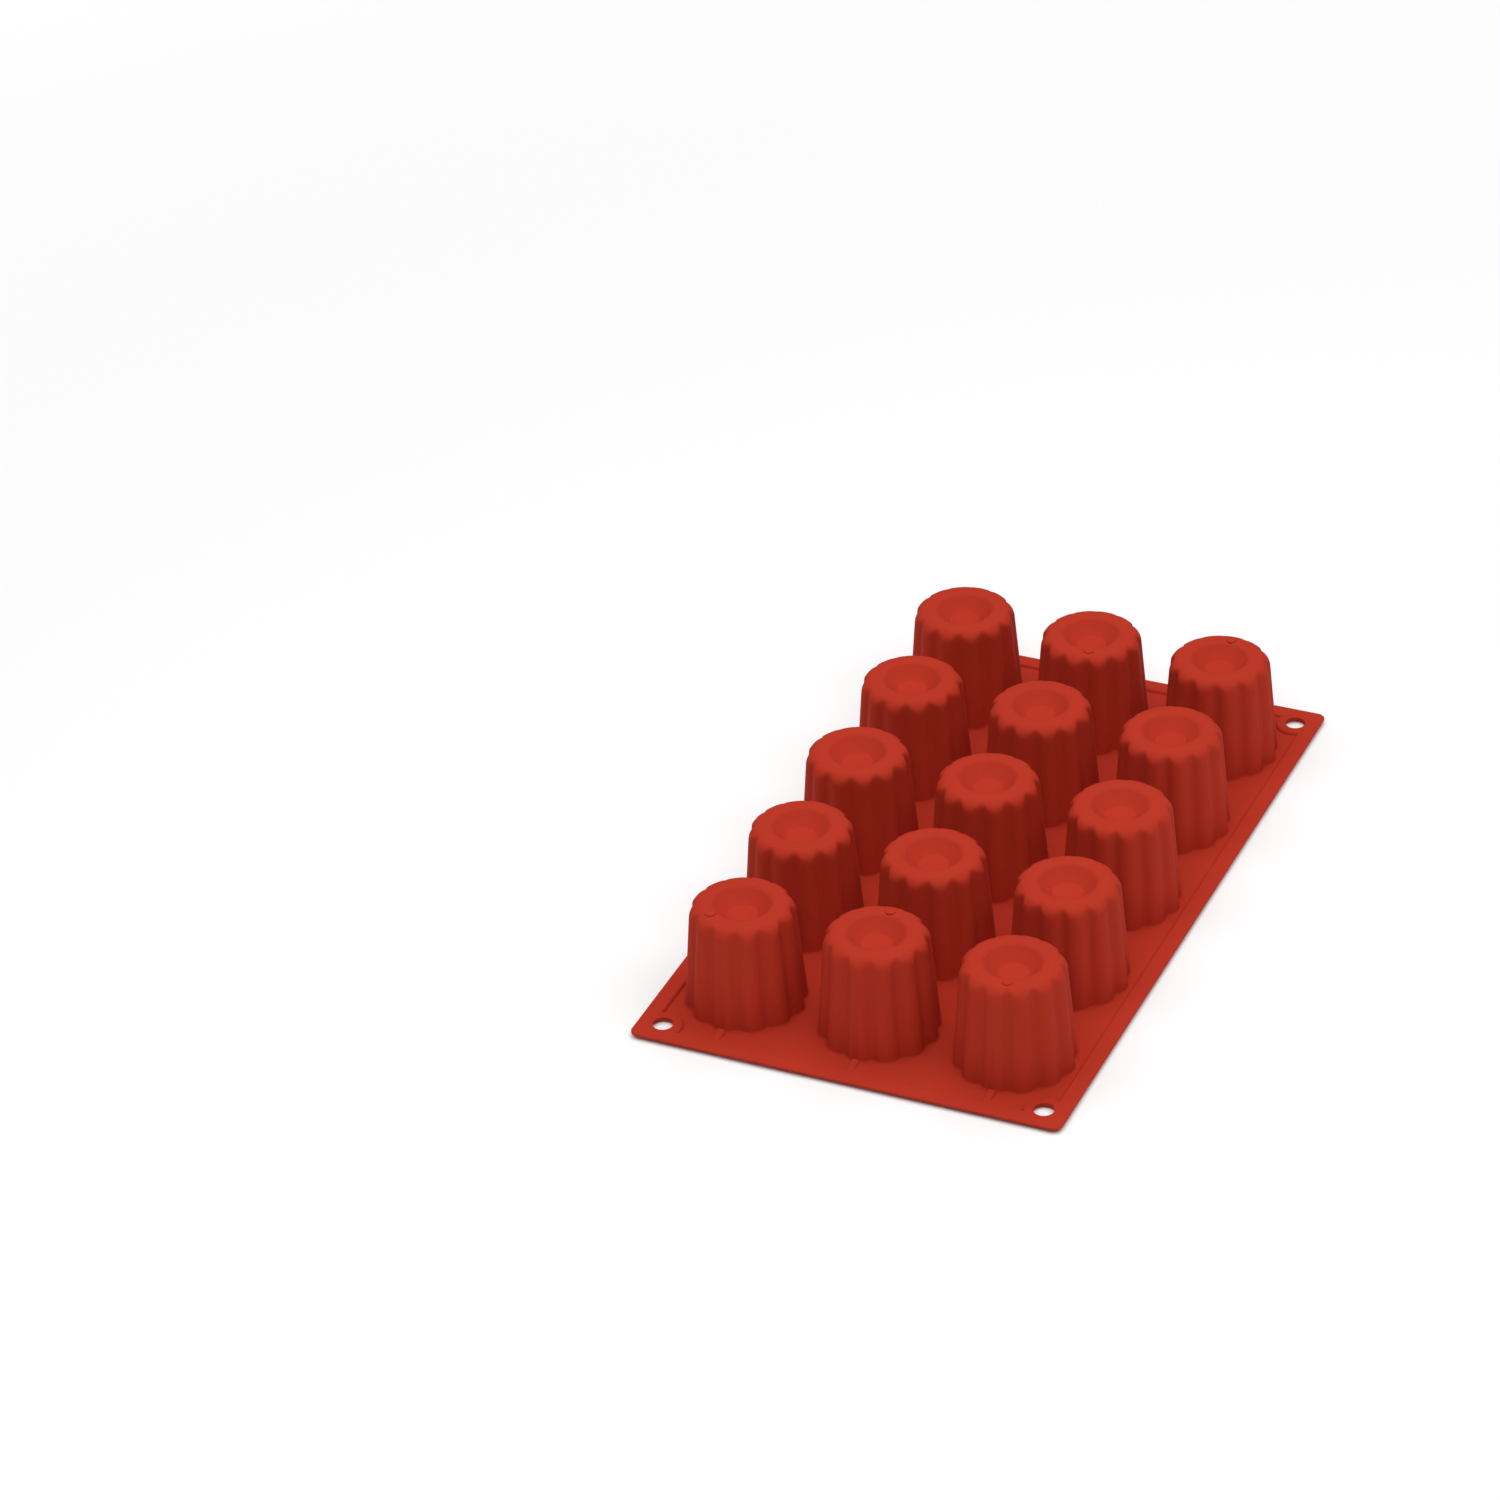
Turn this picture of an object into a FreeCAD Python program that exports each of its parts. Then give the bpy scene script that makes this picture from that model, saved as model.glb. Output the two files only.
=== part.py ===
import FreeCAD, Part
import math
import os
import Sketcher

# Silicone canele mould: one thin flanged sheet with rows of fluted cups,
# lying on the rim of its cavities with the cups standing up.
# Millimetres. X runs along the sheet, Y across it, Z up from the face it rests on.

# The driving sizes: name, value, meaning
DRIVING_SIZES = [
    ("mould_length", 300, "overall length of the sheet"),
    ("mould_width", 175, "overall width of the sheet"),
    ("mould_height", 46, "from the rest face to the crowns of the cups"),
    ("corner_radius", 4, "rounding of the sheet's outer corners"),
    ("web_thickness", 1.2, "sheet between the cups"),
    ("border_thickness", 2, "thicker border round the sheet"),
    ("border_width", 6.7, "width of the thicker border"),
    ("hole_radius", 4, "hanging holes at the corners"),
    ("hole_inset", 10, "hole centres from both edges"),
    ("land_radius", 9, "outer edge of the thick land round each hole"),
    ("cups_long", 5, "cups along the sheet"),
    ("cups_wide", 3, "cups across the sheet"),
    ("pitch_long", 56, "cup spacing along the sheet"),
    ("pitch_wide", 55, "cup spacing across the sheet"),
    ("flutes", 12, "flutes round a cup"),
    ("base_radius", 23.75, "crests of the flutes at the rest face"),
    ("crown_radius", 20.5, "crests of the flutes where the crown begins"),
    ("flute_depth", 1.55, "crest to root of the flutes at the rest face"),
    ("crest_width", 2.4, "width of a flute's crest at the rest face"),
    ("root_width", 3.9, "width of a flute's root at the rest face"),
    ("crown_rounding", 5, "rounding between a cup's side and its crown"),
    ("dish_radius", 10.9, "rim of the dish in the crown"),
    ("dish_floor_radius", 5.4, "flat floor of the dish"),
    ("dish_depth", 3.2, "depth of the dish"),
    ("dish_sides", 24, "flat faces round the dish"),
    ("cup_wall", 1.5, "wall of the cups"),
    ("strip_width", 4.4, "raised strip from a front cup to the border"),
    ("strip_rise", 0.4, "height of that strip above the web"),
]

doc = FreeCAD.newDocument("canele_mould")
sheet = doc.addObject("Spreadsheet::Sheet", "sizes")
for row, (name, value, meaning) in enumerate(DRIVING_SIZES, start=1):
    sheet.set("A%d" % row, name)
    sheet.set("B%d" % row, str(value))
    sheet.setAlias("B%d" % row, name)
    sheet.set("C%d" % row, meaning)
doc.recompute()

body = doc.addObject("PartDesign::Body", "flange")
body.Label = "flange"
planes = {feature.Role: feature for feature in body.Origin.OriginFeatures}
UP = FreeCAD.Vector(0, 0, 1)
START, END, CENTRE = 1, 2, 3  # the points of an edge in a sketch
ORIGIN, X_AXIS = -1, -1  # the sketch's own references

# Where the first cup of the grid stands, and where the holes lie
FIRST_X = "-(sizes.cups_long - 1) * sizes.pitch_long / 2"
FIRST_Y = "-(sizes.cups_wide - 1) * sizes.pitch_wide / 2"
HOLE_X = "sizes.mould_length / 2 - sizes.hole_inset"
HOLE_Y = "sizes.mould_width / 2 - sizes.hole_inset"
QUADRANTS = [(1, 1), (-1, 1), (-1, -1), (1, -1)]


def rule(sketch, kind, *references):
    """Add a plain geometric constraint."""
    return sketch.addConstraint(Sketcher.Constraint(kind, *references))


def bind(sketch, name, expression, kind, *references):
    """Add a dimension to a sketch and bind it to the sheet."""
    value = float(sketch.evalExpression(expression))
    index = sketch.addConstraint(Sketcher.Constraint(kind, *references, value))
    sketch.renameConstraint(index, name)
    sketch.setExpression("Constraints." + name, expression)


def new_sketch(name, plane="XY_Plane", **offsets):
    """A sketch on one of the body's planes, moved off it by bound offsets along its own axes."""
    sketch = body.newObject("Sketcher::SketchObject", name)
    sketch.AttachmentSupport = [(planes[plane], "")]
    sketch.MapMode = "FlatFace"
    for axis, expression in offsets.items():
        sketch.setExpression(".AttachmentOffset.Base." + axis, expression)
    return sketch


def all_equal(sketch, edges):
    """Hold all these edges to one size."""
    for other in edges[1:]:
        rule(sketch, "Equal", edges[0], other)


def place(sketch, name, edge, point, quadrant, x, y):
    """Hold a point at bound distances from the sketch's origin, in its quadrant."""
    for kind, sign, expression in (("DistanceX", quadrant[0], x), ("DistanceY", quadrant[1], y)):
        ends = [(ORIGIN, START), (edge, point)][::sign]
        bind(sketch, "%s_%s" % (name, kind[-1].lower()), expression, kind, *ends[0], *ends[1])


def corner_arc(sketch, quadrant, centre, start, end):
    """A round corner of the outline in this quadrant, between two angles of the first quadrant."""
    angles = [math.atan2(y * quadrant[1], x * quadrant[0]) for x, y in (start, end)]
    if quadrant[0] * quadrant[1] < 0:
        angles.reverse()
    while angles[1] < angles[0]:
        angles[1] += 2 * math.pi
    hub = FreeCAD.Vector(centre[0] * quadrant[0], centre[1] * quadrant[1], 0)
    circle = Part.Circle(hub, UP, math.hypot(*start))
    return sketch.addGeometry(Part.ArcOfCircle(circle, *angles))


def join_corners(sketch, arcs, joint):
    """Level and upright lines between four corner arcs that run round counterclockwise."""
    for turn, (one, two) in enumerate(zip(arcs, arcs[1:] + arcs[:1])):
        ends = (sketch.Geometry[one].EndPoint, sketch.Geometry[two].StartPoint)
        line = sketch.addGeometry(Part.LineSegment(*ends))
        rule(sketch, "Vertical" if turn % 2 else "Horizontal", line)
        rule(sketch, joint, one, END, line, START)
        rule(sketch, joint, line, END, two, START)
    all_equal(sketch, arcs)


# The sheet with its thick border
flange_outline = new_sketch("flange_outline")
corner = float(sheet.corner_radius)
hub = (float(sheet.mould_length) / 2 - corner, float(sheet.mould_width) / 2 - corner)
arcs = [corner_arc(flange_outline, quadrant, hub, (corner, 0), (0, corner)) for quadrant in QUADRANTS]
join_corners(flange_outline, arcs, "Tangent")
for number, index in enumerate((0, 2), start=1):
    long_half = "sizes.mould_length / 2 - sizes.corner_radius"
    wide_half = "sizes.mould_width / 2 - sizes.corner_radius"
    place(flange_outline, "hub_%d" % number, arcs[index], CENTRE, QUADRANTS[index], long_half, wide_half)
bind(flange_outline, "corner", "sizes.corner_radius", "Radius", arcs[0])
border = body.newObject("PartDesign::Pad", "border")
border.Profile = flange_outline
border.setExpression("Length", "sizes.border_thickness")
doc.recompute()

# The web inside the border is thinner, and its edge steps round the corner lands
web_outline = new_sketch("web_outline", z="sizes.border_thickness")
inset = float(sheet.hole_inset)
reach = inset - float(sheet.border_width)
land = float(sheet.land_radius)
side = math.sqrt(land**2 - reach**2)
hub = (float(sheet.mould_length) / 2 - inset, float(sheet.mould_width) / 2 - inset)
arcs = []
for quadrant in QUADRANTS:
    # a hollow corner: the arc runs from the border's one inner edge to the other round the land
    x, y = quadrant
    angles = [math.atan2(-side * y, reach * x), math.atan2(reach * y, -side * x)]
    if quadrant[0] * quadrant[1] > 0:
        angles.reverse()
    while angles[1] < angles[0]:
        angles[1] += 2 * math.pi
    circle = Part.Circle(FreeCAD.Vector(hub[0] * quadrant[0], hub[1] * quadrant[1], 0), UP, land)
    arcs.append(web_outline.addGeometry(Part.ArcOfCircle(circle, *angles)))
for turn, (one, two) in enumerate(zip(arcs, arcs[1:] + arcs[:1])):
    ends = (web_outline.Geometry[one].StartPoint, web_outline.Geometry[two].EndPoint)
    line = web_outline.addGeometry(Part.LineSegment(*ends))
    rule(web_outline, "Vertical" if turn % 2 else "Horizontal", line)
    rule(web_outline, "Coincident", one, START, line, START)
    rule(web_outline, "Coincident", line, END, two, END)
    axis, measure = (("DistanceY", "width"), ("DistanceX", "length"))[turn % 2]
    sides_out = [(ORIGIN, START), (line, START)]
    if turn in (1, 2):
        sides_out.reverse()
    bind(
        web_outline,
        "side_%d" % turn,
        "sizes.mould_%s / 2 - sizes.border_width" % measure,
        axis,
        *sides_out[0],
        *sides_out[1]
    )
all_equal(web_outline, arcs)
for number, (index, quadrant) in enumerate(zip(arcs, QUADRANTS), start=1):
    place(web_outline, "hub_%d" % number, index, CENTRE, quadrant, HOLE_X, HOLE_Y)
bind(web_outline, "land", "sizes.land_radius", "Radius", arcs[0])
web = body.newObject("PartDesign::Pocket", "web")
web.Profile = web_outline
web.setExpression("Length", "sizes.border_thickness - sizes.web_thickness")
doc.recompute()

# The hanging holes
hole_outline = new_sketch("hole_outline", z="sizes.border_thickness")
circles = []
for quadrant in QUADRANTS:
    centre = FreeCAD.Vector(hub[0] * quadrant[0], hub[1] * quadrant[1], 0)
    circles.append(hole_outline.addGeometry(Part.Circle(centre, UP, float(sheet.hole_radius))))
all_equal(hole_outline, circles)
for number, (index, quadrant) in enumerate(zip(circles, QUADRANTS), start=1):
    place(hole_outline, "hub_%d" % number, index, CENTRE, quadrant, HOLE_X, HOLE_Y)
bind(hole_outline, "hole", "sizes.hole_radius", "Radius", circles[0])
holes = body.newObject("PartDesign::Pocket", "holes")
holes.Profile = hole_outline
holes.setExpression("Length", "sizes.border_thickness")
doc.recompute()

# The raised strips from the front cups to the border, each ending inside its cup's wall
strip_outline = new_sketch("strip_outline", x=FIRST_X, y=FIRST_Y)
STRIP_END = "sizes.base_radius - 0.75 * sizes.cup_wall"
STRIP_START = "sizes.mould_length / 2 - sizes.border_width / 2 - (sizes.cups_long - 1) * sizes.pitch_long / 2"
near, far = [-float(strip_outline.evalExpression(size)) for size in (STRIP_END, STRIP_START)]
half = float(sheet.strip_width) / 2
points = [FreeCAD.Vector(*point) for point in ((near, half), (far, half), (far, -half), (near, -half))]
edges = [strip_outline.addGeometry(Part.LineSegment(*pair)) for pair in zip(points, points[1:] + points[:1])]
for edge, following in zip(edges, edges[1:] + edges[:1]):
    rule(strip_outline, "Coincident", edge, END, following, START)
rule(strip_outline, "Symmetric", edges[0], START, edges[2], END, X_AXIS)
rule(strip_outline, "Symmetric", edges[0], END, edges[2], START, X_AXIS)
bind(strip_outline, "wide", "sizes.strip_width", "Distance", edges[1])
bind(strip_outline, "near", STRIP_END, "DistanceX", edges[0], START, ORIGIN, START)
bind(strip_outline, "far", STRIP_START, "DistanceX", edges[0], END, ORIGIN, START)
rule(strip_outline, "Horizontal", edges[0])
strip = body.newObject("PartDesign::Pad", "strip")
strip.Profile = strip_outline
strip.setExpression("Length", "sizes.web_thickness + sizes.strip_rise")
doc.recompute()
strips = body.newObject("PartDesign::LinearPattern", "strips")
strips.Originals = [strip]
strips.Direction = (planes["Y_Axis"], [""])
strips.Mode = "Spacing"
strips.setExpression("Offset", "sizes.pitch_wide")
strips.setExpression("Occurrences", "sizes.cups_wide")
body.Tip = strips
doc.recompute()

# The cups: outside with its dish, and hollow with the boss under the dish.
# Flat faces run straight from level to level.
size = {name: float(sheet.get(name)) for name, value, meaning in DRIVING_SIZES}
SHOULDER = size["mould_height"] - size["crown_rounding"]
CEILING = size["mould_height"] - size["cup_wall"]
INNER_BASE = size["base_radius"] - size["cup_wall"]
ROOT_SHARE = 1 - size["flute_depth"] / size["base_radius"]
INNER_ROOT_SHARE = 1 - size["flute_depth"] / INNER_BASE
TURN = 2 * math.pi / int(size["flutes"])
FLAT = 1e-6  # how far four corners may leave one plane and still make one face
HALF_CREST = math.asin(size["crest_width"] / 2 / size["base_radius"])
HALF_ROOT = math.asin(size["root_width"] / 2 / (ROOT_SHARE * size["base_radius"]))


def level(height, corners):
    """The points of a level outline from its (radius, angle) corners."""
    flat = [(radius * math.cos(angle), radius * math.sin(angle)) for radius, angle in corners]
    return [FreeCAD.Vector(x, y, height) for x, y in flat]


def fluted(height, crest):
    """Outside of a cup: narrow crests joined by wide shallow flutes, which run out on the rounded crown."""
    side = size["base_radius"] + (size["crown_radius"] - size["base_radius"]) * height / SHOULDER
    root = min(crest, side * ROOT_SHARE)
    corners = []
    for flute in range(int(size["flutes"])):
        middle = flute * TURN
        corners.append((crest, middle - HALF_CREST))
        corners.append((crest, middle + HALF_CREST))
        corners.append((root, middle + TURN / 2 - HALF_ROOT))
        corners.append((root, middle + TURN / 2 + HALF_ROOT))
    return level(height, corners)


def cusped(height, cusp):
    """Inside of a cup: sharp cusps under the crests, with sides that bow inward between them."""
    corners = []
    for flute in range(int(size["flutes"])):
        corners.append((cusp, flute * TURN))
        corners.append((cusp * INNER_ROOT_SHARE, (flute + 0.5) * TURN))
    return level(height, corners)


def round_outline(height, radius):
    """A level circle in equal straight sides."""
    sides = int(size["dish_sides"])
    return level(height, [(radius, 2 * math.pi * side / sides) for side in range(sides)])


def wire(points):
    """A closed wire through these points."""
    return Part.makePolygon(points + points[:1])


def band(lower, upper):
    """Flat faces between two level outlines with the same corners, two triangles where four corners twist."""
    faces = []
    for here in range(len(lower)):
        after = (here + 1) % len(lower)
        one, two, three, four = lower[here], lower[after], upper[after], upper[here]
        square_to = (two - one).cross(four - one).normalize()
        if abs(square_to.dot(three - one)) < FLAT:
            faces.append(Part.Face(wire([one, two, three, four])))
        else:
            faces.append(Part.Face(wire([one, two, four])))
            faces.append(Part.Face(wire([two, three, four])))
    return faces


def stepped_solid(outlines, dish_rim, dish_floor):
    """A solid through level outlines, closed below and by a dished face on top."""
    faces = [Part.Face(wire(outlines[0]))]
    for lower, upper in zip(outlines, outlines[1:]):
        faces += band(lower, upper)
    faces.append(Part.makeFace([wire(outlines[-1]), wire(dish_rim)], "Part::FaceMakerBullseye"))
    faces += band(dish_floor, dish_rim)
    faces.append(Part.Face(wire(dish_floor)))
    shell = Part.makeShell(faces)
    shell.sewShape()
    solid = Part.makeSolid(shell)
    if solid.Volume < 0:
        solid.reverse()
    if not solid.isValid():
        raise RuntimeError("a cup's stepped form is not a valid solid")
    return solid


def grid_of(solid):
    """One copy of a solid for each cup of the grid."""
    copies = []
    for row in range(int(size["cups_long"])):
        for column in range(int(size["cups_wide"])):
            x = (row - (size["cups_long"] - 1) / 2) * size["pitch_long"]
            y = (column - (size["cups_wide"] - 1) / 2) * size["pitch_wide"]
            copies.append(solid.translated(FreeCAD.Vector(x, y, 0)))
    return copies


# the crown's rounding is two flat bands, met half way round the quarter circle
bend_in = size["crown_rounding"] * (1 - math.cos(math.pi / 4))
crown_flat = size["crown_radius"] - size["crown_rounding"]
outside = stepped_solid(
    [
        fluted(0, size["base_radius"]),
        fluted(SHOULDER, size["crown_radius"]),
        fluted(size["mould_height"] - bend_in, size["crown_radius"] - bend_in),
        fluted(size["mould_height"], crown_flat),
    ],
    round_outline(size["mould_height"], size["dish_radius"]),
    round_outline(size["mould_height"] - size["dish_depth"], size["dish_floor_radius"]),
)
hollow = stepped_solid(
    [
        cusped(0, INNER_BASE),
        cusped(SHOULDER, size["crown_radius"] - size["cup_wall"]),
        cusped(CEILING, crown_flat),
    ],
    round_outline(CEILING, size["dish_radius"]),
    round_outline(CEILING - size["dish_depth"], size["dish_floor_radius"]),
)
cups = []
hollows = []
for kind, solid, made in (("cup", outside, cups), ("hollow", hollow, hollows)):
    for number, copy in enumerate(grid_of(solid), start=1):
        made.append(doc.addObject("Part::Feature", "%s_%d" % (kind, number)))
        made[-1].Shape = copy
filled = doc.addObject("Part::MultiFuse", "filled")
filled.Shapes = [body] + cups
hollow_set = doc.addObject("Part::Compound", "hollows")
hollow_set.Links = hollows
mould = doc.addObject("Part::Cut", "mould")
mould.Base = filled
mould.Tool = hollow_set
mould.Label = "canele_mould"
doc.recompute()

for item in doc.Objects:
    if "Invalid" in item.State or "Error" in item.State:
        raise RuntimeError("%s failed: %s" % (item.Name, item.State))
shape = mould.Shape
if shape.isNull() or not shape.isValid():
    raise RuntimeError("canele_mould is not a valid solid")
print("volume", shape.Volume, "solids", len(shape.Solids), "faces", len(shape.Faces))

os.makedirs("parts", exist_ok=True)
shape.exportStep("parts/canele_mould.step")
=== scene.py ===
import bmesh
import bpy
import math
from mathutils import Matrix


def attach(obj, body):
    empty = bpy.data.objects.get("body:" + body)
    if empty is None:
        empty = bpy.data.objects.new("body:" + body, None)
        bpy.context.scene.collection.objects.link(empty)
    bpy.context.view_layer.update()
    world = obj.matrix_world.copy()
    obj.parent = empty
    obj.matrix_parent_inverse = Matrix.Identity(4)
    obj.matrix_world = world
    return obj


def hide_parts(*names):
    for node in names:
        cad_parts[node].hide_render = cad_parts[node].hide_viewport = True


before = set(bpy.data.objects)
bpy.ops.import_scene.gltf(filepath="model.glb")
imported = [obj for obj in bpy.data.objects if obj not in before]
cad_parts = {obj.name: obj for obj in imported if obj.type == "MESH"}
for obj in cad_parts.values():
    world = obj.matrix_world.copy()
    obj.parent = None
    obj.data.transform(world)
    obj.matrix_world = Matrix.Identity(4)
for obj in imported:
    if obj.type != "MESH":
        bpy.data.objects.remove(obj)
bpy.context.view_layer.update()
print("frame loaded:", sorted(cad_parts))

hair = 0.00001  # metres: tells heights apart and keeps two faces out of one plane


# Small helpers for working as by hand

def deselectEverything():
    if bpy.context.object and bpy.context.object.mode != "OBJECT":
        bpy.ops.object.mode_set(mode="OBJECT")
    bpy.ops.object.select_all(action="DESELECT")


def workOn(piece):
    deselectEverything()
    piece.select_set(True)
    bpy.context.view_layer.objects.active = piece


def named(name):
    piece = bpy.context.object
    piece.name = name
    piece.data.name = name
    return piece


def settle(piece):
    workOn(piece)
    bpy.ops.object.transform_apply(location=True, rotation=True, scale=True)
    return piece


def applied(piece, kind, **settings):
    workOn(piece)
    modifier = piece.modifiers.new(kind.lower(), kind)
    for key, value in settings.items():
        setattr(modifier, key, value)
    bpy.ops.object.modifier_apply(modifier=modifier.name)
    return piece


def cutOrJoin(piece, tool, operation):
    applied(piece, "BOOLEAN", operation=operation, object=tool, solver="MANIFOLD")
    bpy.data.objects.remove(tool, do_unlink=True)
    return piece


def joined(pieces):
    deselectEverything()
    for piece in pieces:
        piece.select_set(True)
    bpy.context.view_layer.objects.active = pieces[0]
    bpy.ops.object.join()
    return bpy.context.object


def slab(name, x, y, z):
    bpy.ops.mesh.primitive_cube_add(size=1, location=[(a + b) / 2 for a, b in (x, y, z)])
    piece = named(name)
    piece.scale = [b - a for a, b in (x, y, z)]
    return settle(piece)


def peg(name, centre, radius, z, sides):
    bpy.ops.mesh.primitive_cylinder_add(
        vertices=sides, radius=radius, depth=z[1] - z[0],
        location=(centre[0], centre[1], (z[0] + z[1]) / 2),
    )
    return settle(named(name))


def drawnUp(piece, centre, rings):
    # a flat outline is drawn up through rings, each given as height, size along X and size along Y
    workOn(piece)
    bpy.ops.object.mode_set(mode="EDIT")
    bpy.ops.mesh.select_all(action="SELECT")
    height, sizeX, sizeY = rings[0]
    for level, nextX, nextY in rings[1:]:
        bpy.ops.mesh.extrude_region_move(TRANSFORM_OT_translate={"value": (0, 0, level - height)})
        bpy.ops.transform.resize(
            value=(nextX / sizeX, nextY / sizeY, 1), center_override=(centre[0], centre[1], 0)
        )
        height, sizeX, sizeY = level, nextX, nextY
    bpy.ops.mesh.select_all(action="SELECT")
    bpy.ops.mesh.normals_make_consistent(inside=False)
    bpy.ops.object.mode_set(mode="OBJECT")
    return piece


# The sheet, in metres

sheetSizes = {
    "length": 0.300,
    "width": 0.175,
    "borderThick": 0.0025,
    "webThick": 0.0013,
    "borderWidth": 0.0067,
    "stepRun": 0.0010,  # width over which the border falls to the web
    "stepParts": 5,
    "wellTop": 0.004,  # the forms that cut the sheet reach past its faces
    "cornerRadius": 0.0034,
    "holeRadius": 0.004,
    "holeInset": 0.010,
    "holeCut": (-0.002, 0.006),
    "holeSides": 48,
    "holeRelief": 0.0015,  # the hole widens by this much on its lower side
    "reliefHeight": 0.0011,
    "reliefFrom": -0.001,
    "reliefPast": 0.0005,  # inside the hole, where the cone cuts nothing more
    "landRadius": 0.0078,
    "landTop": 0.006,
    "landSides": 96,
    "edgeSoftness": 0.0004,  # rounding of the sheet's outer edge
    "lipHeight": 0.0015,  # the outer edge stands this far off the table
    "lipReach": 0.0030,
    "stripWidth": 0.0050,  # at its foot
    "stripCrest": 0.48,  # width on top, as a share of the foot
    "stripTop": 0.0031,  # at the cup
    "stripFall": 0.0018,  # lower at its outer end
    "stripSunk": 0.0001,  # into the web
    "stripStart": 1.3,  # times the border's width from the sheet's edge
    "stripEnd": 0.0215,  # from the middle of the cup, inside its wall
    "stripRounding": 0.0007,
}
gridSizes = {"rows": 5, "columns": 3, "pitchLong": 0.056, "pitchWide": 0.055}
firstCup = (
    -(gridSizes["rows"] - 1) * gridSizes["pitchLong"] / 2,
    -(gridSizes["columns"] - 1) * gridSizes["pitchWide"] / 2,
)
cornerSigns = [(1, 1), (-1, 1), (-1, -1), (1, -1)]


def stepProfile(s):
    # the soft S from web to border, as height and distance outward
    profile = []
    for step in range(s["stepParts"] + 1):
        share = step / s["stepParts"]
        rise = (1 - math.cos(math.pi * share)) / 2
        height = s["webThick"] + (s["borderThick"] - s["webThick"]) * rise
        profile.append((height, s["stepRun"] * (share - 0.5)))
    return profile


def makeWell(s):
    insideLong = s["length"] / 2 - s["borderWidth"]
    insideWide = s["width"] / 2 - s["borderWidth"]
    rings = [
        (height, 2 * (insideLong + out), 2 * (insideWide + out)) for height, out in stepProfile(s)
    ]
    rings.append((s["wellTop"], rings[-1][1], rings[-1][2]))
    bpy.ops.mesh.primitive_plane_add(size=1, location=(0, 0, rings[0][0]))
    well = named("well")
    well.scale = (rings[0][1], rings[0][2], 1)
    return drawnUp(settle(well), (0, 0), rings)


def makeLand(s, hub):
    rings = [(0.0, s["landRadius"] + s["stepRun"] / 2)]
    rings += [(height, s["landRadius"] - out) for height, out in stepProfile(s)]
    rings.append((s["landTop"], rings[-1][1]))
    bpy.ops.mesh.primitive_circle_add(
        vertices=s["landSides"], radius=rings[0][1], fill_type="NGON",
        location=(hub[0], hub[1], rings[0][0]),
    )
    land = settle(named("land"))
    return drawnUp(land, hub, [(height, 2 * radius, 2 * radius) for height, radius in rings])


def makeRelief(s, hub):
    # a cone that opens the hole downward
    slope = s["holeRelief"] / s["reliefHeight"]
    low, high = s["reliefFrom"], s["reliefHeight"] + s["reliefPast"]
    bpy.ops.mesh.primitive_cone_add(
        vertices=s["holeSides"],
        radius1=s["holeRadius"] + (s["reliefHeight"] - low) * slope,
        radius2=s["holeRadius"] + (s["reliefHeight"] - high) * slope,
        depth=high - low, location=(hub[0], hub[1], (low + high) / 2),
    )
    return settle(named("relief"))


def makeStrip(s, y):
    # a block whose outer end is lowered and whose top is narrowed
    halfLong = s["length"] / 2
    foot = s["webThick"] - s["stripSunk"]
    strip = slab(
        "strip",
        (-halfLong + s["borderWidth"] * s["stripStart"], firstCup[0] - s["stripEnd"]),
        (y - s["stripWidth"] / 2, y + s["stripWidth"] / 2),
        (foot, s["stripTop"]),
    )
    workOn(strip)
    bpy.ops.object.mode_set(mode="EDIT")
    mesh = bmesh.from_edit_mesh(strip.data)
    middle = sum(point.co.x for point in mesh.verts) / len(mesh.verts)
    for point in mesh.verts:
        point.select = point.co.z > s["stripTop"] - hair and point.co.x < middle
    bmesh.update_edit_mesh(strip.data)
    bpy.ops.transform.translate(value=(0, 0, -s["stripFall"]))
    for point in mesh.verts:
        point.select = point.co.z > foot + hair
    bmesh.update_edit_mesh(strip.data)
    bpy.ops.transform.resize(value=(1, s["stripCrest"], 1), center_override=(0, y, 0))
    bpy.ops.object.mode_set(mode="OBJECT")
    return applied(strip, "BEVEL", width=s["stripRounding"], segments=4, limit_method="ANGLE")


def makeSheet(s):
    under = (s["length"] - 2 * s["lipReach"], s["width"] - 2 * s["lipReach"])
    bpy.ops.mesh.primitive_plane_add(size=1)
    sheet = named("mould")
    sheet.scale = (under[0], under[1], 1)
    settle(sheet)
    bpy.ops.object.mode_set(mode="EDIT")
    bpy.ops.mesh.select_all(action="SELECT")
    bpy.ops.mesh.bevel(
        offset=s["cornerRadius"], offset_type="OFFSET", segments=8, affect="VERTICES"
    )
    bpy.ops.object.mode_set(mode="OBJECT")
    drawnUp(sheet, (0, 0), [
        (0.0, under[0], under[1]),
        (s["lipHeight"], s["length"], s["width"]),
        (s["borderThick"], s["length"], s["width"]),
    ])
    applied(
        sheet, "BEVEL", width=s["edgeSoftness"], segments=3,
        limit_method="ANGLE", angle_limit=math.radians(50),
    )
    # the web is sunk below the border, and the border swells round each hole
    hubs = [
        (signX * (s["length"] / 2 - s["holeInset"]), signY * (s["width"] / 2 - s["holeInset"]))
        for signX, signY in cornerSigns
    ]
    well = makeWell(s)
    for hub in hubs:
        well = cutOrJoin(well, makeLand(s, hub), "DIFFERENCE")
    sheet = cutOrJoin(sheet, well, "DIFFERENCE")
    for hub in hubs:
        hole = peg("hole", hub, s["holeRadius"], s["holeCut"], s["holeSides"])
        sheet = cutOrJoin(sheet, hole, "DIFFERENCE")
        sheet = cutOrJoin(sheet, makeRelief(s, hub), "DIFFERENCE")
    for column in range(gridSizes["columns"]):
        strip = makeStrip(s, firstCup[1] + column * gridSizes["pitchWide"])
        sheet = cutOrJoin(sheet, strip, "UNION")
    return sheet


# One fluted cup, drawn up ring by ring from its base

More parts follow.
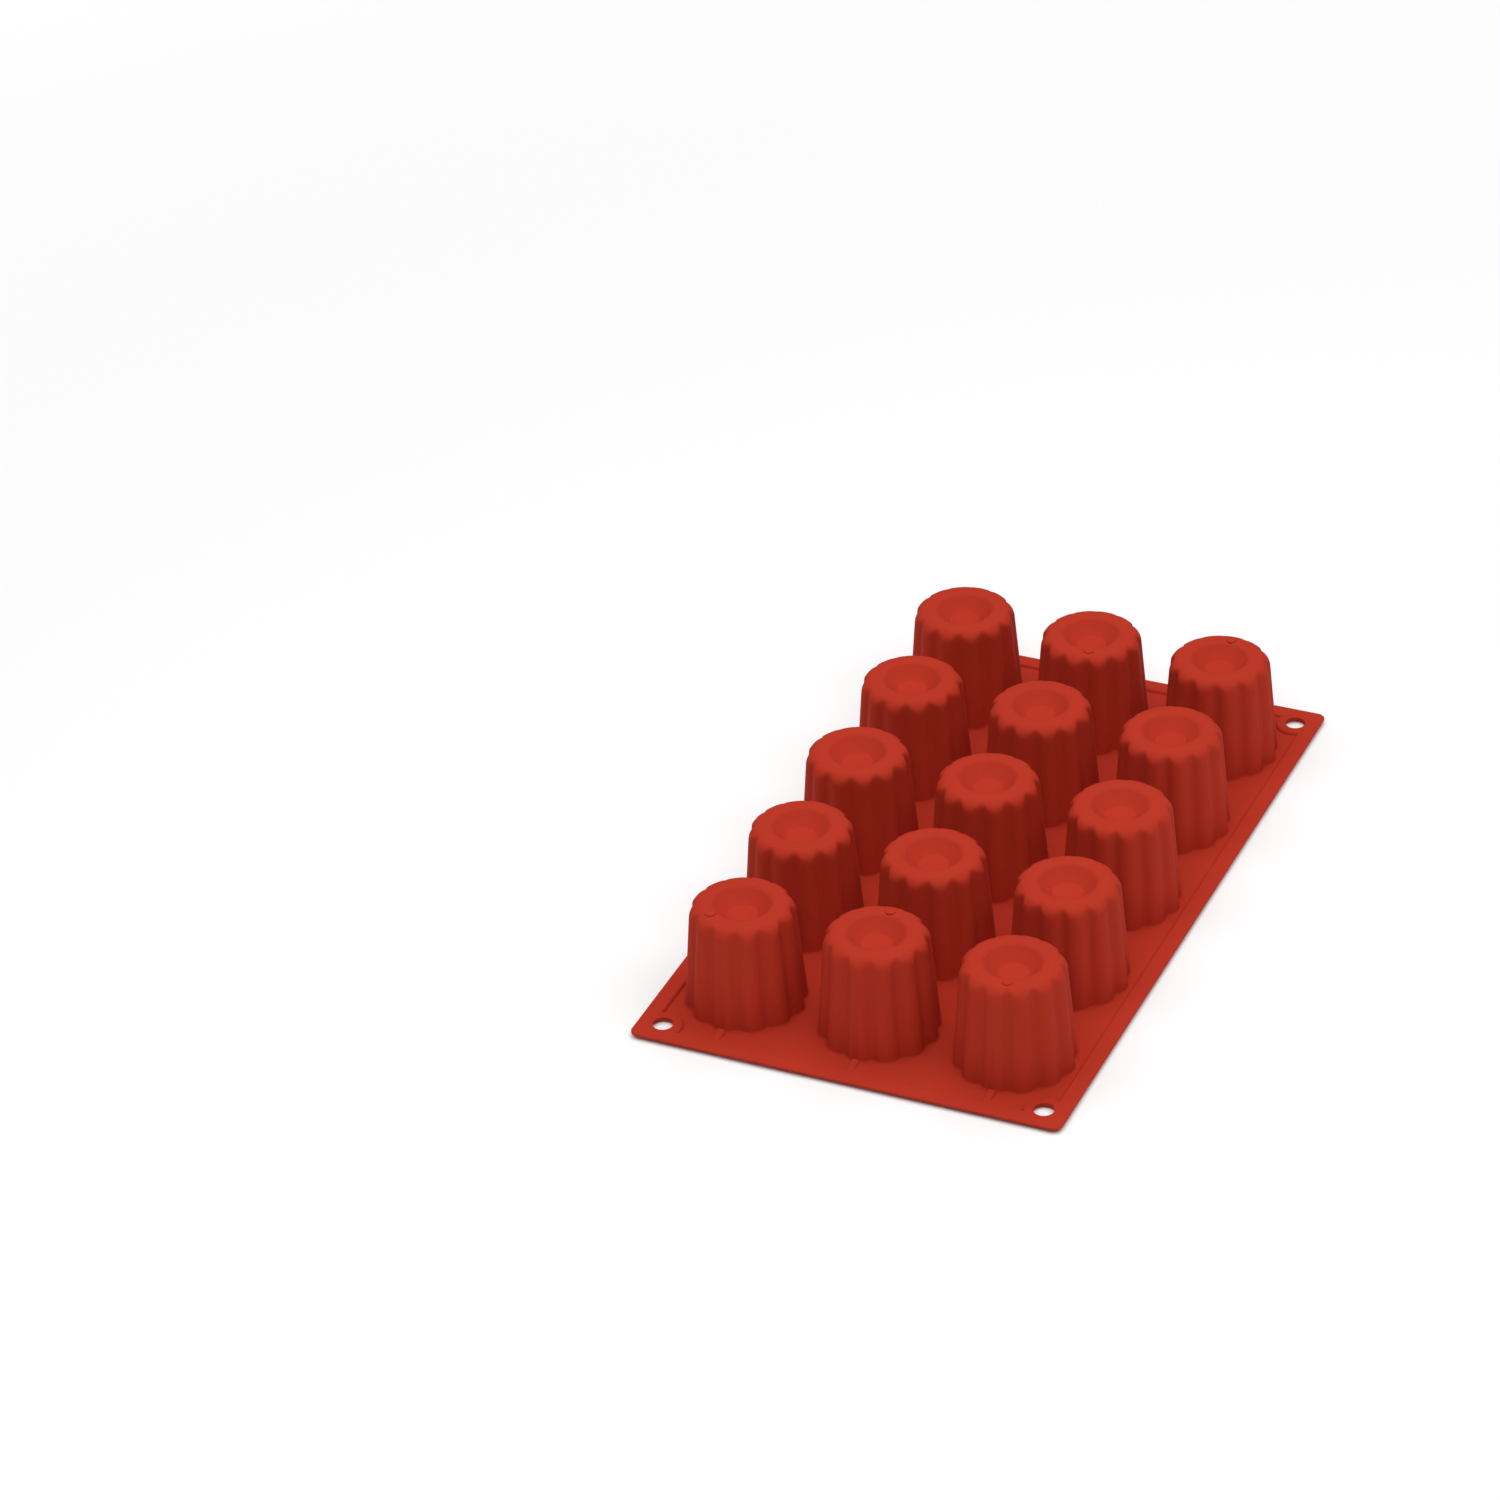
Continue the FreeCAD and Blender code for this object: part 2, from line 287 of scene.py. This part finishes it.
cupSizes = {
    "flutes": 12,
    "pointsPerFlute": 14,
    "baseRadius": 0.02375,  # over the crests, at the rest face
    "crownRadius": 0.0205,
    "fluteDepth": 0.0019,  # crest to root at the base
    "crownFluteDepth": 0.0018,  # and where the crown begins
    "crestRound": 0.0058,  # radius of a crest at the base
    "height": 0.04560,
    "fullHeight": 0.046,  # to the top of the little marks on the crowns
    "foot": 0.0006,  # the cup starts at this height, inside the web
    "crownRounding": 0.0054,
    "crownTurns": (0, 12, 23, 32, 40, 48, 56, 65, 76, 90),  # degrees round the crown's edge
    "runOut": 1.1,  # softness of the hollows' upper ends, as a share of their depth
    "baseFillet": 0.0010,
    "filletTurns": (0, 30, 60, 90),
    "dishRadius": 0.0130,  # where the rim begins to fall
    "dishRimRounding": 0.0035,
    "dishSlope": 43,  # degrees
    "dishDepth": 0.0053,
    "dishFoot": 0.0006,  # half the width of the round where slope and floor meet
    "innermostRing": 0.0020,  # the faces inside it meet in the middle
    "wall": 0.0015,
    "cuspDepth": 0.00155,  # cusp to middle of a flute inside, at the mouth
    "ceilingRounding": 0.0020,
    "ceilingTurns": (0, 30, 60, 90),
    "mouthRounding": 0.0004,
    "mouthTurns": (0, 45, 90),
    "mouthCut": -0.002,  # the cavity's form starts below the rest face
    "ceilingReach": 0.0004,  # the dish is wider by this much on the cavity's side
}


def flutedRadii(crest):
    # polar radii over half a flute, crest to root: a round crest running into a round hollow
    s = cupSizes
    bead = s["crestRound"] * crest / s["baseRadius"]
    up = (s["baseRadius"] - crest) / (s["baseRadius"] - s["crownRadius"])
    root = crest - s["fluteDepth"] - (s["crownFluteDepth"] - s["fluteDepth"]) * up
    half = math.pi / s["flutes"]
    hub = crest - bead
    reach = hub * math.cos(half)
    hollow = (root**2 + hub**2 - 2 * root * reach - bead**2) / (2 * (bead - root + reach))
    far = root + hollow
    # where crest and hollow touch, seen from the middle of the cup
    touchX = hub + (far * math.cos(half) - hub) * bead / (bead + hollow)
    touchY = far * math.sin(half) * bead / (bead + hollow)
    touch = math.atan2(touchY, touchX)
    radii = []
    steps = s["pointsPerFlute"] // 2
    for step in range(steps + 1):
        angle = half * step / steps
        if angle <= touch:
            radius = hub * math.cos(angle) + math.sqrt(bead**2 - (hub * math.sin(angle)) ** 2)
        else:
            away = half - angle
            radius = far * math.cos(away) - math.sqrt(hollow**2 - (far * math.sin(away)) ** 2)
        radii.append(radius)
    return radii


def runOutRadii(height, crown):
    # the hollows go straight on up and run out softly where the crown's rounding meets them
    side = sideRadius(height)
    radii = []
    for hollow in flutedRadii(side):
        soft = max(cupSizes["runOut"] * (side - hollow), 1e-7)
        blend = max(0.0, min(1.0, 0.5 + (crown - hollow) / (2 * soft)))
        radii.append(crown * (1 - blend) + hollow * blend - soft * blend * (1 - blend))
    return radii


def cuspedRadii(cusp):
    # the cavity's outline: arcs that bow inward and meet in sharp cusps under the crests
    s = cupSizes
    inner = s["baseRadius"] - s["wall"]
    middle = cusp * (1 - s["cuspDepth"] / inner)
    half = math.pi / s["flutes"]
    bow = cusp * math.cos(half) - middle
    arc = ((cusp * math.sin(half)) ** 2 + bow**2) / (2 * bow)
    hub = middle + arc
    steps = s["pointsPerFlute"] // 2
    radii = []
    for step in range(steps + 1):
        away = half * (1 - step / steps)
        radii.append(hub * math.cos(away) - math.sqrt(arc**2 - (hub * math.sin(away)) ** 2))
    return radii


def plainRadii(radius):
    return [radius] * (cupSizes["pointsPerFlute"] // 2 + 1)


def turnedForm(name, rings):
    # rings is a list of (height, radii), with the radii from the middle of a crest to the middle
    # of a hollow; each ring is extruded from the last, and its points are scaled in place
    count = cupSizes["flutes"] * cupSizes["pointsPerFlute"]
    perFlute = cupSizes["pointsPerFlute"]
    bpy.ops.mesh.primitive_circle_add(vertices=count, radius=1.0, fill_type="NGON")
    piece = named(name)
    bpy.ops.object.mode_set(mode="EDIT")
    bpy.ops.mesh.select_mode(type="VERT")
    bpy.ops.mesh.select_all(action="SELECT")
    current = plainRadii(1.0)
    height = 0.0
    for number, (level, radii) in enumerate(rings):
        if number == 0:
            bpy.ops.transform.translate(value=(0, 0, level))
        else:
            move = {"value": (0, 0, level - height)}
            bpy.ops.mesh.extrude_edges_move(TRANSFORM_OT_translate=move)
        height = level
        mesh = bmesh.from_edit_mesh(piece.data)
        mesh.verts.ensure_lookup_table()
        ring = [point.index for point in mesh.verts if point.select]
        groups = {}
        for index in ring:
            point = mesh.verts[index].co
            phase = round(math.atan2(point.y, point.x) * count / (2 * math.pi)) % perFlute
            groups.setdefault(min(phase, perFlute - phase), []).append(index)
        for phase, members in groups.items():
            factor = radii[phase] / current[phase]
            if abs(factor - 1) < 1e-9:
                continue
            mesh = bmesh.from_edit_mesh(piece.data)
            mesh.verts.ensure_lookup_table()
            for point in mesh.verts:
                point.select = False
            for index in members:
                mesh.verts[index].select = True
            bpy.ops.transform.resize(value=(factor, factor, 1), center_override=(0, 0, 0))
        mesh = bmesh.from_edit_mesh(piece.data)
        mesh.verts.ensure_lookup_table()
        for part in (mesh.verts, mesh.edges, mesh.faces):
            for item in part:
                item.select = False
        for index in ring:
            mesh.verts[index].select = True
        wanted = set(ring)
        for edge in mesh.edges:
            edge.select = all(point.index in wanted for point in edge.verts)
        bmesh.update_edit_mesh(piece.data)
        current = radii
    bpy.ops.mesh.edge_face_add()
    bpy.ops.mesh.poke()
    bpy.ops.mesh.select_all(action="SELECT")
    bpy.ops.mesh.normals_make_consistent(inside=False)
    bpy.ops.object.mode_set(mode="OBJECT")
    return settle(piece)


def sideRadius(height):
    s = cupSizes
    shoulder = s["fullHeight"] - s["crownRounding"]
    return s["baseRadius"] + (s["crownRadius"] - s["baseRadius"]) * height / shoulder


def dishProfile(turns, floorSteps):
    # from rim to floor, as radius and depth: a soft rim, a straight slope and a round at its foot
    s = cupSizes
    soft = s["dishRimRounding"]
    slope = math.radians(s["dishSlope"])
    profile = []
    for step in range(turns + 1):
        angle = slope * step / turns
        profile.append((s["dishRadius"] - soft * math.sin(angle), soft * (1 - math.cos(angle))))
    reach, depth = profile[-1]
    left = s["dishDepth"] - depth
    floor = reach - left / math.tan(slope)
    foot = s["dishFoot"]
    for step in range(floorSteps):
        share = (step + 1) / (floorSteps + 1)
        sunk = s["dishDepth"] - foot * (1 - share) ** 2 * math.tan(slope)
        profile.append((floor + foot * (1 - 2 * share), sunk))
    profile.append((s["innermostRing"], s["dishDepth"]))
    return profile


def outsideRings():
    s = cupSizes
    web = sheetSizes["webThick"]
    rings = [(s["foot"], flutedRadii(sideRadius(web) + s["baseFillet"]))]
    for turn in s["filletTurns"]:
        angle = math.radians(turn)
        height = web + s["baseFillet"] * (1 - math.cos(angle)) - hair
        crest = sideRadius(height) + s["baseFillet"] * (1 - math.sin(angle))
        rings.append((height, flutedRadii(crest)))
    shoulder = s["height"] - s["crownRounding"]
    for turn in s["crownTurns"]:
        angle = math.radians(turn)
        height = shoulder + s["crownRounding"] * math.sin(angle)
        crown = s["crownRadius"] - s["crownRounding"] * (1 - math.cos(angle))
        rings.append((height, runOutRadii(height, crown)))
    for reach, depth in dishProfile(5, 2):
        rings.append((s["height"] - depth, plainRadii(reach)))
    return rings


def cavityRings():
    s = cupSizes
    soft = s["mouthRounding"]

    def cuspAt(height):
        return sideRadius(height) - s["wall"]

    rings = [(s["mouthCut"], cuspedRadii(cuspAt(0) + soft))]
    for turn in s["mouthTurns"]:
        angle = math.radians(turn)
        height = soft * (1 - math.cos(angle)) + hair
        rings.append((height, cuspedRadii(cuspAt(height) + soft * (1 - math.sin(angle)))))
    ceiling = s["height"] - s["wall"]
    shoulder = ceiling - s["ceilingRounding"]
    for turn in s["ceilingTurns"]:
        angle = math.radians(turn)
        radius = cuspAt(shoulder) - s["ceilingRounding"] * (1 - math.cos(angle))
        rings.append((shoulder + s["ceilingRounding"] * math.sin(angle), cuspedRadii(radius)))
    for reach, depth in dishProfile(3, 1):
        rings.append((ceiling - depth, plainRadii(reach + s["ceilingReach"])))
    return rings


def overTheGrid(piece):
    applied(
        piece, "ARRAY", count=gridSizes["rows"], use_relative_offset=False,
        use_constant_offset=True, constant_offset_displace=(gridSizes["pitchLong"], 0, 0),
    )
    applied(
        piece, "ARRAY", count=gridSizes["columns"], use_relative_offset=False,
        use_constant_offset=True, constant_offset_displace=(0, gridSizes["pitchWide"], 0),
    )
    piece.location = (firstCup[0], firstCup[1], 0)
    return settle(piece)


crownMarks = {
    "radius": 0.0020,
    "reach": 0.0138,  # from the middle of the cup
    "sunk": 0.0006,  # into the crown
    "softness": 0.0001,
    "sides": 32,
    # (row, column): angle of the mark round its cup, in degrees
    "places": {(0, 2): 143, (0, 1): 0, (0, 0): 193, (4, 1): 197, (4, 0): 0},
}


def makeCrownMarks(m):
    marks = []
    for (row, column), angle in m["places"].items():
        turn = math.radians(angle)
        x = firstCup[0] + row * gridSizes["pitchLong"] + m["reach"] * math.cos(turn)
        y = firstCup[1] + column * gridSizes["pitchWide"] + m["reach"] * math.sin(turn)
        levels = (cupSizes["height"] - m["sunk"], cupSizes["fullHeight"])
        mark = peg("mark", (x, y), m["radius"], levels, m["sides"])
        applied(mark, "BEVEL", width=m["softness"], segments=2, limit_method="ANGLE")
        marks.append(mark)
    return joined(marks)


meshFinish = {
    "weldDistance": 0.000001,
    "smoothAngle": 32,  # degrees: flatter edges than this are shaded smooth
}

sheet = makeSheet(sheetSizes)
print("sheet:", len(sheet.data.vertices), "points")
cups = overTheGrid(turnedForm("cups", outsideRings()))
print("cups:", len(cups.data.vertices), "points")
cavities = overTheGrid(turnedForm("cavities", cavityRings()))
cups = cutOrJoin(cups, makeCrownMarks(crownMarks), "UNION")
mould = cutOrJoin(sheet, cups, "UNION")
mould = cutOrJoin(mould, cavities, "DIFFERENCE")
workOn(mould)
bpy.ops.object.mode_set(mode="EDIT")
bpy.ops.mesh.select_all(action="SELECT")
bpy.ops.mesh.remove_doubles(threshold=meshFinish["weldDistance"])
bpy.ops.object.mode_set(mode="OBJECT")
bpy.ops.object.shade_smooth_by_angle(angle=math.radians(meshFinish["smoothAngle"]))
mould.data.calc_loop_triangles()
print("mould:", len(mould.data.loop_triangles), "triangles")


# The silicone

class Wire:
    # a socket that can be added, multiplied and subtracted in plain expressions
    def __init__(self, material, socket):
        self.material = material
        self.socket = socket

    def maths(self, operation, first, second):
        return self.material.node("ShaderNodeMath", {"operation": operation}, {0: first, 1: second})

    def __add__(self, other):
        return self.maths("ADD", self, other)

    def __radd__(self, other):
        return self.maths("ADD", other, self)

    def __sub__(self, other):
        return self.maths("SUBTRACT", self, other)

    def __mul__(self, other):
        return self.maths("MULTIPLY", self, other)


class Finish:
    # a material whose nodes are made one call at a time
    def __init__(self, name):
        self.material = bpy.data.materials.new(name)
        self.material.use_nodes = True
        self.tree = self.material.node_tree
        self.tree.nodes.clear()

    def node(self, kind, settings=None, inputs=None, output=0):
        made = self.tree.nodes.new(kind)
        for key, value in (settings or {}).items():
            setattr(made, key, value)
        for key, value in (inputs or {}).items():
            if isinstance(value, Wire):
                self.tree.links.new(value.socket, made.inputs[key])
            else:
                made.inputs[key].default_value = value
        return Wire(self, made.outputs[output]) if made.outputs else None


siliconeLook = {
    "colour": (0.44, 0.035, 0.017, 1),
    "deepColour": (0.385, 0.028, 0.013, 1),
    "cloudScale": 35.0,  # noise scales are per metre
    "cloudShare": 0.6,
    "speckScale": 420.0,
    "speckShare": 0.4,
    "roughness": 0.66,
    "roughnessSpread": 0.12,
    "grain": 1500,  # of the fine moulded texture
    "grainDepth": 0.00002,
    "grainStrength": 0.35,
    "refraction": 1.41,
    "gloss": 0.05,
}


def siliconeFinish(look):
    f = Finish("silicone")
    place = f.node("ShaderNodeTexCoord", output="Object")

    def noise(scale, detail):
        return f.node(
            "ShaderNodeTexNoise", {}, {"Vector": place, "Scale": scale, "Detail": detail}, "Fac"
        )

    clouds = noise(look["cloudScale"], 3.0)
    specks = noise(look["speckScale"], 4.0)
    grain = noise(look["grain"], 2.0)
    mottling = clouds * look["cloudShare"] + specks * look["speckShare"]
    colour = f.node(
        "ShaderNodeMix", {"data_type": "RGBA"},
        {"Factor": mottling, "A": look["deepColour"], "B": look["colour"]}, "Result",
    )
    bump = f.node(
        "ShaderNodeBump", {},
        {"Height": grain, "Strength": look["grainStrength"], "Distance": look["grainDepth"]},
        "Normal",
    )
    shader = f.node(
        "ShaderNodeBsdfPrincipled", {},
        {
            "Base Color": colour,
            "Roughness": look["roughness"] + (clouds - 0.5) * look["roughnessSpread"],
            "Normal": bump,
            "IOR": look["refraction"],
            "Specular IOR Level": look["gloss"],
        },
    )
    f.node("ShaderNodeOutputMaterial", {}, {"Surface": shader})
    return f.material


mould.data.materials.clear()
mould.data.materials.append(siliconeFinish(siliconeLook))
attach(mould, "root")
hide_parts("canele_mould")
print("silicone on")


# Floor, light and camera

studio = {
    "floorSize": 12,
    "floorColour": (0.86, 0.86, 0.86, 1),
    "whiteFrom": 0.30,  # the floor turns plain white between these distances from its middle
    "whiteTo": 1.00,
    "worldFill": 0.22,
    "keyPower": 68.0,
    "keyPlace": (-0.10, -0.15, 1.9),
    "keySize": 3.2,
}
cameraSet = {
    "place": (-1.75793, -0.73004, 1.30197),
    "turn": (56.8853, 2.3932, -66.2451),
    "lens": 140.715,
    "sensor": 36.0,
    "nearest": 0.05,
    "farthest": 20.0,
}


def floorFinish(s):
    f = Finish("paleFloor")
    cameraRay = f.node("ShaderNodeLightPath", output="Is Camera Ray")
    place = f.node("ShaderNodeTexCoord", output="Object")
    distance = f.node("ShaderNodeVectorMath", {"operation": "LENGTH"}, {0: place}, "Value")
    away = f.node(
        "ShaderNodeMapRange", {"interpolation_type": "SMOOTHSTEP"},
        {"Value": distance, "From Min": s["whiteFrom"], "From Max": s["whiteTo"]}, "Result",
    )
    matt = f.node("ShaderNodeBsdfDiffuse", {}, {"Color": s["floorColour"]})
    white = f.node("ShaderNodeEmission", {}, {"Color": (1, 1, 1, 1), "Strength": 1.0})
    both = f.node("ShaderNodeMixShader", {}, {0: away * cameraRay, 1: matt, 2: white})
    f.node("ShaderNodeOutputMaterial", {}, {"Surface": both})
    return f.material


deselectEverything()
bpy.ops.mesh.primitive_plane_add(size=studio["floorSize"], location=(0, 0, 0))
floor = named("floor")
floor.data.materials.append(floorFinish(studio))

world = bpy.context.scene.world or bpy.data.worlds.new("studio")
bpy.context.scene.world = world
world.use_nodes = True
world.node_tree.nodes.clear()
skyNodes = world.node_tree.nodes
skyPath = skyNodes.new("ShaderNodeLightPath")
skyMix = skyNodes.new("ShaderNodeMixShader")
skyFill = skyNodes.new("ShaderNodeBackground")
skyWhite = skyNodes.new("ShaderNodeBackground")
skyOut = skyNodes.new("ShaderNodeOutputWorld")
skyFill.inputs["Color"].default_value = (1, 1, 1, 1)
skyFill.inputs["Strength"].default_value = studio["worldFill"]
skyWhite.inputs["Color"].default_value = (1, 1, 1, 1)
skyWhite.inputs["Strength"].default_value = 1.0
skyLinks = world.node_tree.links
skyLinks.new(skyPath.outputs["Is Camera Ray"], skyMix.inputs[0])
skyLinks.new(skyFill.outputs[0], skyMix.inputs[1])
skyLinks.new(skyWhite.outputs[0], skyMix.inputs[2])
skyLinks.new(skyMix.outputs[0], skyOut.inputs["Surface"])

bpy.ops.object.light_add(type="AREA", location=studio["keyPlace"])
key = bpy.context.object
key.name = "key"
key.data.shape = "SQUARE"
key.data.size = studio["keySize"]
key.data.energy = studio["keyPower"]
key.rotation_mode = "QUATERNION"
key.rotation_quaternion = key.location.to_track_quat("Z", "Y")

bpy.ops.object.camera_add(
    location=cameraSet["place"], rotation=[math.radians(angle) for angle in cameraSet["turn"]]
)
camera = bpy.context.object
camera.data.lens = cameraSet["lens"]
camera.data.sensor_width = cameraSet["sensor"]
camera.data.clip_start = cameraSet["nearest"]
camera.data.clip_end = cameraSet["farthest"]
bpy.context.scene.camera = camera
bpy.context.scene.view_settings.view_transform = "Standard"
print("studio set")
